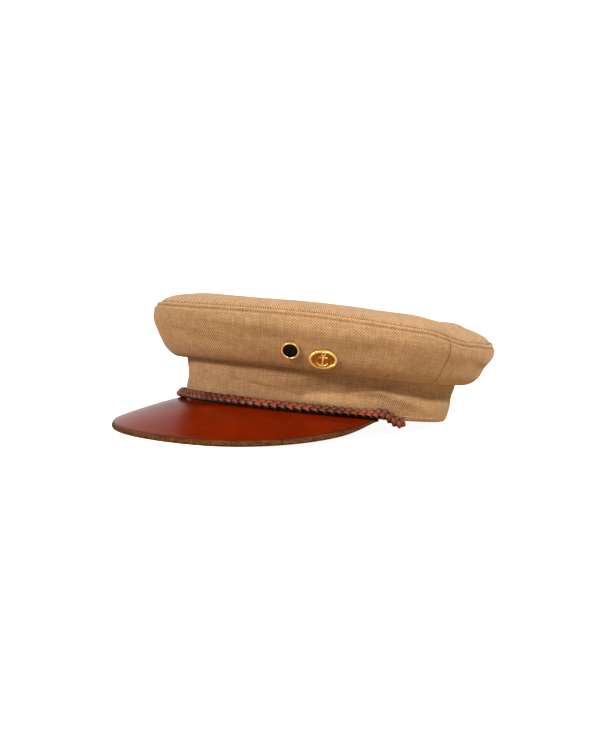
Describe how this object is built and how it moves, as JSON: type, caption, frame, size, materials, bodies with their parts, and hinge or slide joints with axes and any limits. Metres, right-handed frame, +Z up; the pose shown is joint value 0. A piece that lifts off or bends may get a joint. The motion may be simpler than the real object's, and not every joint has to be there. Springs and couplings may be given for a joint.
{
  "type": "captain hat",
  "caption": "Canvas captain's hat with a full crown over an upright band, a thick leather visor, a plaited leather lace, a round pin and a small oval badge.",
  "frame": {"origin": "under the middle of the hat's box, on the surface that the visor's edge and the back of the band rest on", "axes": "+Z up, -Y the way the visor points, +X the wearer's left, where the pin and the badge are"},
  "size_m": [0.2384, 0.2994, 0.0944],
  "materials": {
    "canvas": "coarse tan plain weave, dry and matt",
    "visor_leather": "russet, waxed and glossy, with a raw fibrous edge",
    "braid_leather": "reddish brown laces, half gloss",
    "gold": "warm polished gold colour",
    "black_enamel": "flat glossy black enamel",
    "steel": "plain bright steel, hidden behind the cloth"
  },
  "bodies": {
    "root": {"crown_top": "canvas", "crown_side_front": "canvas", "crown_side_back": "canvas", "band": "canvas", "visor": "visor_leather", "braid": "braid_leather", "pin_rim": "gold", "pin_inlay": "black_enamel", "pin_clutch": "steel", "badge": "gold", "badge_clutch": "steel"}
  },
  "joints": []
}
